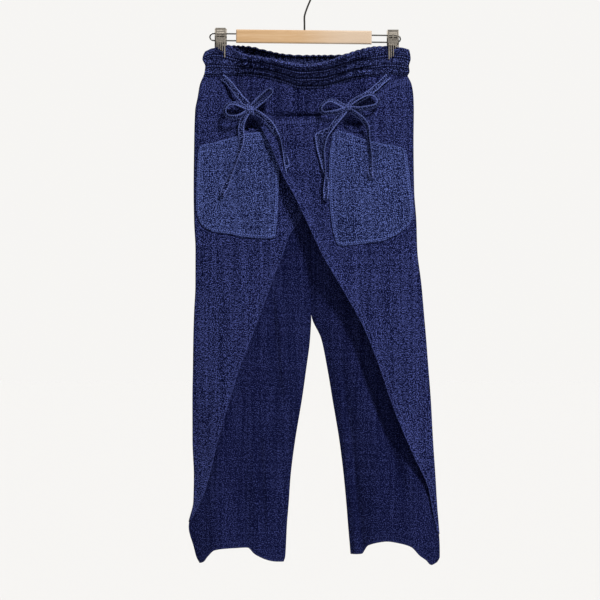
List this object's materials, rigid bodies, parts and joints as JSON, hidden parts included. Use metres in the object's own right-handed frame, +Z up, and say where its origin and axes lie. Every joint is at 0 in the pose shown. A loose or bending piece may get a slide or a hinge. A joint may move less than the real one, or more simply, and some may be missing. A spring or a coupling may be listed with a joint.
{
  "type": "wide-leg wrap trousers on a clip hanger",
  "caption": "Indigo hand-woven wide-leg trousers with wrap flaps, tied bows, patch pockets and an elastic waist, hung from a wooden clip hanger.",
  "frame": {"origin": "inside top of the hanger's hook, where a rod or peg holds it", "axes": "+Z up, +X to the right as seen from the front, front of the trousers towards -Y"},
  "size_m": [0.4522, 0.0714, 1.0626],
  "materials": {
    "indigo_cloth": "hand-woven slubby indigo cotton, matt",
    "pocket_cloth": "lighter washed indigo cloth, matt",
    "tape_cloth": "self-fabric tape with stitched edges, matt",
    "wood": "pale satin varnish",
    "steel": "plated wire and pressed sheet"
  },
  "bodies": {
    "root": {"front_left": "indigo_cloth", "front_right": "indigo_cloth", "back_left": "indigo_cloth", "back_right": "indigo_cloth", "waistband_front": "indigo_cloth", "waistband_back": "indigo_cloth", "wrap_flap_left": "indigo_cloth", "wrap_flap_right": "indigo_cloth", "pocket_left": "pocket_cloth", "pocket_right": "pocket_cloth", "waist_tape_left": "tape_cloth", "waist_tape_right": "tape_cloth", "bow_left": "tape_cloth", "bow_right": "tape_cloth", "tie_end_left_outer": "tape_cloth", "tie_end_left_inner": "tape_cloth", "tie_end_right_inner": "tape_cloth", "tie_end_right_outer": "tape_cloth", "hanger_bar": "wood", "hanger_rail_left": "steel", "hanger_rail_right": "steel", "hanger_hook": "steel", "clip_jaw_front_left": "steel", "clip_jaw_back_left": "steel", "clip_spring_left": "steel", "clip_jaw_front_right": "steel", "clip_jaw_back_right": "steel", "clip_spring_right": "steel"}
  },
  "joints": []
}
